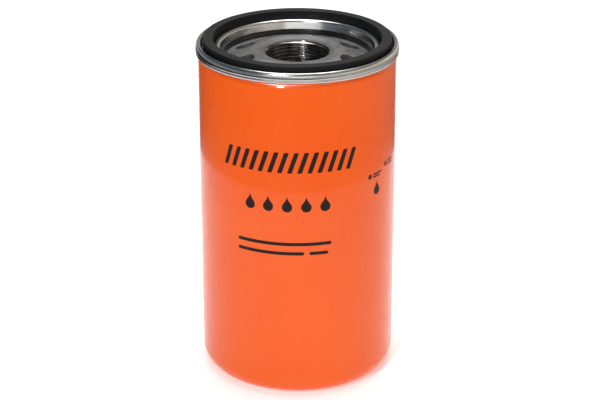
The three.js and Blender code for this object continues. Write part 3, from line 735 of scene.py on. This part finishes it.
def pleated_media():
    """One strip of filter paper in round-folded pleats, its ends standing in the adhesive."""
    pleats, thickness, outer_fold, inner_fold, sunk = 48, 0.6, 2.0, 1.1, 0.5
    arc, levels, sway, waves, twist = 6, 24, 0.22, 3, 5  # the pleats sway a little between the caps
    middle = []
    for k in range(2 * pleats):
        outside = k % 2 == 0
        fold = (outer_fold if outside else inner_fold) / 2
        tip = paper.outer - thickness / 2 if outside else paper.inner + thickness / 2
        centre_r = tip - fold if outside else tip + fold
        angle = k * math.pi / pleats
        turns = np.linspace(-90, 90, arc + 1) if outside else np.linspace(-90, 90, arc + 1)[::-1]
        for t in np.radians(turns):
            r = centre_r + (fold if outside else -fold) * math.cos(t)
            side = fold * math.sin(t) if outside else -fold * math.sin(t)
            middle.append((r * math.cos(angle) - side * math.sin(angle),
                           r * math.sin(angle) + side * math.cos(angle)))
    middle = np.array(middle)
    along = unit(unit(middle - np.roll(middle, 1, 0)) + unit(np.roll(middle, -1, 0) - middle))
    out = np.stack([along[:, 1], -along[:, 0]], 1) * thickness / 2
    height = np.linspace(paper.low - sunk, paper.high + sunk, levels)
    angle = np.arctan2(middle[:, 1], middle[:, 0])
    radius = np.hypot(middle[:, 0], middle[:, 1])
    share = (radius - radius.min()) / np.ptp(radius)
    rows = []
    for face in (1, -1):
        for z in height[::face]:
            rise = (z - height[0]) / np.ptp(height)
            lean = sway * math.sin(math.pi * rise) * np.sin(waves * angle + twist * rise) * share
            across = np.stack([-np.sin(angle), np.cos(angle)], 1) * lean[:, None]
            rows.append(np.column_stack([middle + face * out + across, np.full(len(middle), z)]))
    rows.append(rows[0])
    piece("paper_pleats", [loft(rows)], [PAPER], "element", "pleated_media", crease=60)


def media_side_clip():
    """U-shaped metal strip pinched over the fold where the paper's ends meet."""
    metal, opening, inset, levels, pinch, pinch_pitch = 0.4, 3.2, 0.02, 72, 0.14, 9.0
    half = (opening + metal) / 2
    start, back = clip.inner, clip.outer - metal / 2 - inset
    middle = rounded([(start, -half), (back, -half, 0.5), (back, half, 0.5), (start, half)], 5)
    outline = np.array(sheet(middle, metal))
    rows = []
    for z in np.linspace(clip.low, clip.high, levels):
        squeeze = pinch * (0.5 - 0.5 * math.cos(TAU * (z - clip.low) / pinch_pitch))
        depth = np.clip((back - outline[:, 0]) / (back - start), 0, 1)
        y = outline[:, 1] - np.sign(outline[:, 1]) * squeeze * depth
        rows.append(np.column_stack([outline[:, 0], y, np.full(len(outline), z)]))
    points, faces = loft(rows)
    n = len(outline)
    caps = []
    for base, flip in ((0, False), ((levels - 1) * n, True)):
        for i in range(n // 2 - 1):
            quad = [base + i, base + i + 1, base + n - 2 - i, base + n - 1 - i]
            caps.append(quad[::-1] if flip else quad)
    piece("paper_side_clip", [(points, [*faces[:, ::-1].tolist(), *caps])], [STEEL], "element",
          "media_side_clip")


def centre_tube():
    """Perforated tube that the pleats lean on."""
    hole, rows, count, cell_steps, margin = 3.1, 11, 10, 8, 7.0
    low, high = tube.low + margin, tube.high - margin

    def round_hole(way):
        return way * hole

    parts = perforated(tube.outer, tube.inner, round_hole, (low, high), rows, count, cell_steps)
    cell = np.arange(count * cell_steps) / cell_steps - 0.5
    for inner_z, end_z, shift in ((low, tube.low, 0), (high, tube.high, (rows - 1) % 2 / 2)):
        loops = [(tube.outer, inner_z), (tube.outer, end_z), (tube.inner, end_z), (tube.inner, inner_z)]
        points, faces = loft([around(r, z, (cell + shift) * TAU / count) for r, z in loops])
        parts.append((points, faces if end_z > inner_z else faces[:, ::-1]))
    piece("core_tube", parts, [STEEL], "element", "centre_tube", crease=45)


# ---------------------------------------------------------------- bypass valve

def bypass_seat():
    """Ring with a raised bead that the poppet's washer closes on, and a collar below its flange."""
    bore, bead_width, bead_height, flange = 9.0, 1.5, 0.8, 1.2
    collar_r, collar_wall = tube.outer - 2.9, 3.1
    top = bypass.high - bead_height
    flange_z = top - flange
    outline = rounded([
        (collar_r - collar_wall, bypass.low, 0.4), (collar_r, bypass.low, 0.5), (collar_r, flange_z),
        (bypass.outer, flange_z, 0.3), (bypass.outer, top, 0.4), (bore + bead_width, top, 0.5),
        (bore + bead_width * 0.8, bypass.high, 0.35), (bore, bypass.high, 0.35), (bore, flange_z, 0.3),
        (collar_r - collar_wall, flange_z, 0.4),
    ])
    piece("bypass_seat_ring", [turned(outline, VALVE_SEGMENTS)], [STEEL], "element", "bypass_body")


def bypass_cage():
    """Pressed cup with four windows that guides the poppet's stem and holds the spring."""
    metal, windows, window_w, window_h, clearance = 0.8, 4, 6.0, 7.0, 1.0
    half, inner = metal / 2, poppet.outer + clearance
    outer, middle_r = inner + metal, inner + half
    low_z, high_z = cage.low + 2.4, cage.high - 3.2

    def window(way):
        """A rectangle with well rounded corners."""
        power = 5
        across, up = np.abs(way[:, 0] / window_w), np.abs(way[:, 1] / window_h)
        return way * ((across ** power + up ** power) ** (-1 / power))[:, None]

    parts = perforated(outer, inner, window, (low_z, high_z), 1, windows, VALVE_SEGMENTS // windows)
    flange = rounded([(cage.outer, cage.low + half), (middle_r, cage.low + half, 0.9), (middle_r, low_z)])
    top = rounded([(middle_r, high_z), (middle_r, cage.high - half, 1.4), (cage.inner, cage.high - half)])
    for path in (flange, top):
        outline = anticlockwise(supported(sheet(path, metal), True))
        edges = enumerate(zip(outline, outline[1:] + outline[:1]))
        start = next(i for i, (a, b) in edges if open_edge(a, b, low_z, high_z))
        order = outline[start + 1:] + outline[:start + 1]
        parts.append(loft([circle(r, z, VALVE_SEGMENTS) for r, z in order]))
    piece("bypass_spring_cage", parts, [STEEL], "element", "bypass_cage", crease=45)


def open_edge(a, b, low_z, high_z):
    """Whether two points span the metal on one of the levels where the cage's windowed wall begins."""
    on_level = any(abs(a[1] - z) < SAME and abs(b[1] - z) < SAME for z in (low_z, high_z))
    return on_level and abs(a[0] - b[0]) > 0.5


def bypass_poppet():
    """Disc on a stem, with a raised guide for the spring and a rivet head under the washer."""
    stem, rivet, rivet_height, disc_height = 2.2, 4.5, 1.4, 1.0
    guide, guide_height, cone_height = 5.0, 2.5, 1.0
    rivet_top, disc_low = poppet.low + rivet_height, seal.high + FIT
    disc_high = disc_low + disc_height
    guide_top = disc_high + guide_height
    outline = rounded([
        (0, poppet.low), (rivet, poppet.low, 0.6), (rivet, rivet_top, 0.2), (stem, rivet_top),
        (stem, disc_low), (poppet.outer, disc_low, 0.3), (poppet.outer, disc_high, 0.45),
        (guide, disc_high, 0.4), (guide, guide_top, 0.5), (stem, guide_top + cone_height, 0.4),
        (stem, poppet.high, 0.9), (0, poppet.high),
    ])
    piece("bypass_disc", [turned(outline, VALVE_SEGMENTS)], [STEEL], "bypass_valve", "bypass_poppet")


def bypass_seal():
    """Rubber washer under the poppet's disc."""
    outline = rounded([(seal.inner, seal.low, 0.2), (seal.outer, seal.low, 0.35),
                       (seal.outer, seal.high, 0.35), (seal.inner, seal.high, 0.2)])
    piece("bypass_seal_washer", [turned(outline, VALVE_SEGMENTS)], [VALVE_RUBBER], "bypass_valve",
          "bypass_seal")


def bypass_spring():
    """Coil in the cage that presses the poppet down."""
    radius, wire, turns, sides, per_turn = 8, 1.5, 6, 16, 40
    low, high = bypass_coil.low, bypass_coil.high
    made = piece("bypass_coil", [coil(radius, wire, turns, low, high, sides, per_turn)], [SPRING_STEEL],
                 "element", "bypass_spring")
    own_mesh(made)


# ---------------------------------------------------------------- printed marks

def printed(name, shapes, turn, height):
    """Ink shapes on the can's side. Each is a list of (way round, height) points in millimetres, from
    a middle that lies `turn` degrees to the right of the front at that height."""
    film, sunk, cut_every = 0.05, 0.03, 1.2
    work = bmesh.new()
    for shape in shapes:
        corners = [work.verts.new((u, 0, z)) for u, z in shape]
        work.faces.new(corners)
    bmesh.ops.triangulate(work, faces=work.faces)
    across = [v.co.x for v in work.verts]
    for u in np.arange(min(across) + cut_every, max(across), cut_every):
        bmesh.ops.bisect_plane(work, geom=[*work.verts, *work.edges, *work.faces], plane_co=(u, 0, 0),
                               plane_no=(1, 0, 0), dist=1e-5)
    raised = bmesh.ops.extrude_face_region(work, geom=list(work.faces))["geom"]
    for v in raised:
        if isinstance(v, bmesh.types.BMVert):
            v.co.y = 1
    for v in work.verts:
        angle = math.radians(turn - 90) + v.co.x / CAN_R
        radius = CAN_R - sunk + (film + sunk) * v.co.y
        v.co = Vector((radius * math.cos(angle), radius * math.sin(angle), height + v.co.z)) * MM
    bmesh.ops.recalc_face_normals(work, faces=work.faces)
    mesh = bpy.data.meshes.new(name)
    work.to_mesh(mesh)
    work.free()
    mesh.materials.append(INK)
    made = placed(name, mesh)
    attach(made, "canister")


def bar(u, z, width, height, bend, slant=0):
    """A bar with rounded corners. Its top stands slant farther to the right than its bottom."""
    w, h, lean = width / 2, height / 2, slant / 2
    corners = [(u - w - lean, z - h), (u + w - lean, z - h), (u + w + lean, z + h), (u - w + lean, z + h)]
    return rounded([(*corner, bend) for corner in corners], 4)


def line(u, z, width, height):
    """A bar with round ends."""
    return bar(u, z, width, height, height * 0.45)


def disc(u, z, radius, steps=24):
    return [(u + radius * math.cos(a), z + radius * math.sin(a)) for a in np.arange(steps) * TAU / steps]


def oil_drop(u, z, radius):
    """A drop: a round bottom whose sides run up to a point."""
    start, steps = math.radians(30), 22
    flank, flank_z, tip_z = radius * 0.28, z + radius * 1.35, z + radius * 2.1
    bottom = [(u + radius * math.cos(a), z + radius * math.sin(a))
              for a in np.linspace(math.pi - start, TAU + start, steps)]
    return bottom + [(u + flank, flank_z), (u, tip_z), (u - flank, flank_z)]


def printed_marks():
    """Plain bars and drops in the places and sizes of a filter's usual front print."""
    stripes = [bar(-37.2 + 5.72 * k, 0, 2.7, 12.4, 0.5, 4.2) for k in range(14)]
    printed("print_stripes", stripes, -5.2, 148.8)
    printed("print_drops", [oil_drop(-22 + 11 * k, -1.6, 3.0) for k in range(5)], -5.8, 123.4)
    lines = [line(0, 2.9, 56, 2.0), line(-8, -2.9, 40, 2.0), line(20.5, -2.9, 11, 2.0)]
    printed("print_lines", lines, -8.0, 96.0)
    mark = [disc(-4.6, 5.2, 1.5), line(2.2, 5.9, 8.4, 1.0), line(1.2, 4.3, 6.4, 1.0),
            oil_drop(1.6, -4.6, 2.7)]
    printed("print_side_mark", mark, 51, 128)
    mark = [disc(-3.4, 1.6, 1.5), line(2.6, 2.3, 7.0, 1.0), line(2.6, 0.3, 7.0, 1.0)]
    printed("print_far_mark", mark, 65.5, 135)


# ---------------------------------------------------------------- studio

def area_light(name, at, toward, size, radiance):
    """A rectangular soft light of the given radiance, which the camera doesn't see."""
    light = bpy.data.lights.new(name, "AREA")
    light.shape = "RECTANGLE"
    light.size, light.size_y = size
    light.energy = radiance * math.pi * size[0] * size[1]
    holder = placed(name, light)
    holder.location = at
    holder.rotation_euler = (Vector(toward) - Vector(at)).to_track_quat("-Z", "Y").to_euler()
    holder.visible_camera = False


def surroundings():
    """A dim room, cooler on the left and warmer on the right, behind a white backdrop."""
    world = bpy.data.worlds.new("studio")
    bpy.context.scene.world = world
    world.use_nodes = True
    nodes = Nodes(world.node_tree)
    split = nodes.add("SeparateXYZ", Vector=nodes.add("TexCoord")["Generated"])
    sides = nodes.colours(nodes.spread(split["X"], -1, 1, 0, 1), (0.15, (0.34, 0.41, 0.50)),
                          (0.85, (1.6, 1.48, 1.28)))
    levels = nodes.colours(split["Z"], (0.0, (0.5,) * 3), (0.2, (0.85,) * 3), (0.34, (0.16,) * 3),
                           (0.75, (0.32,) * 3))
    room = nodes.add("Mix", {"data_type": "RGBA", "blend_type": "MULTIPLY"}, Factor=1, A=sides, B=levels)
    dim = nodes.add("Background", Color=room["Result"])[0]
    backdrop = nodes.add("Background", Color=(1, 1, 1, 1))[0]
    seen = nodes.add("LightPath")["Is Camera Ray"]
    chosen = nodes.add("MixShader", i0=seen, i1=dim, i2=backdrop)[0]
    nodes.tree.links.new(chosen, nodes.tree.nodes["World Output"].inputs["Surface"])


def reflection_shade_floor():
    """A sheet on the floor farther out that only reflections show. Its colour is painted shade in them:
    darkest on the left and lightest on the right.
    """
    near, far, reach, steps, level = 0.36, 1.8, 155, 48, 0.002
    angles = np.radians(np.linspace(-reach, reach, steps + 1))
    points = [(r * math.sin(a), -r * math.cos(a), level) for a in angles for r in (near, far)]
    mesh = bpy.data.meshes.new("reflection_shade_floor")
    mesh.from_pydata(points, [], [(2 * k, 2 * k + 1, 2 * k + 3, 2 * k + 2) for k in range(steps)])
    look = Look("reflection_shade_floor", Roughness=0.9, Specular_IOR_Level=0.1)
    across = look.add("SeparateXYZ", Vector=look.place)["X"]
    wavy = look.math("ADD", across, look.math("MULTIPLY", look.noise(3, 3), 0.1))
    # painted shade for reflections: the ramp runs from darkest on the left to lightest on the right
    look.tint(look.spread(wavy, -0.7, 0.8, 0, 1), (0.07, (0.012, 0.014, 0.016)),
              (0.27, (0.05, 0.054, 0.058)), (0.45, (0.22,) * 3), (0.60, (0.10, 0.10, 0.096)),
              (0.77, (0.30, 0.29, 0.275)), (0.87, (0.62, 0.60, 0.56)))
    mesh.materials.append(look.material)
    holder = placed("reflection_shade_floor", mesh)
    holder.visible_camera = holder.visible_shadow = holder.visible_diffuse = False


def studio():
    bpy.context.scene.view_settings.view_transform = "Standard"
    surroundings()
    reach = 4.0
    mesh = bpy.data.meshes.new("floor")
    mesh.from_pydata([(-reach, -reach, 0), (reach, -reach, 0), (reach, reach, 0), (-reach, reach, 0)],
                     [], [(0, 1, 2, 3)])
    mesh.materials.append(pale_floor())
    floor = placed("floor", mesh)
    reflection_shade_floor()
    middle = (0, 0, 0.15)
    area_light("key_box", (-0.55, -1.45, 1.25), middle, (0.19, 0.19), 135)
    area_light("front_box", (-0.25, -1.6, 0.42), middle, (1.7, 0.45), 1.1)
    area_light("top_box", (0, 0.35, 1.7), (0, 0.34, 0), (1.1, 1.1), 5.4)


def camera():
    """The photograph's view: from 1.15 m off, looking 23 degrees down on the filter's front."""
    lens, sensor, down = 111.0, 36.0, 23.23
    data = bpy.data.cameras.new("camera")
    data.lens, data.sensor_width = lens, sensor
    holder = placed("camera", data)
    holder.location = (0.00155, -1.016, 0.538)
    holder.rotation_euler = (math.radians(90 - down), 0, 0)
    bpy.context.scene.camera = holder


camera()
studio()
can_shell()
retainer_lid()
seam_sealant()
sealing_gasket()
plate_seal()
thread_plate()
drainback_valve()
spring_seat()
support_spring()
end_cap("upper_cap", upper_cap, "upper_end_cap", False)
end_cap("lower_cap", lower_cap, "lower_end_cap", True)
potting("upper_glue", upper_glue, "upper_potting", False)
potting("lower_glue", lower_glue, "lower_potting", True)
pleated_media()
media_side_clip()
centre_tube()
bypass_seat()
bypass_cage()
bypass_poppet()
bypass_seal()
bypass_spring()
printed_marks()
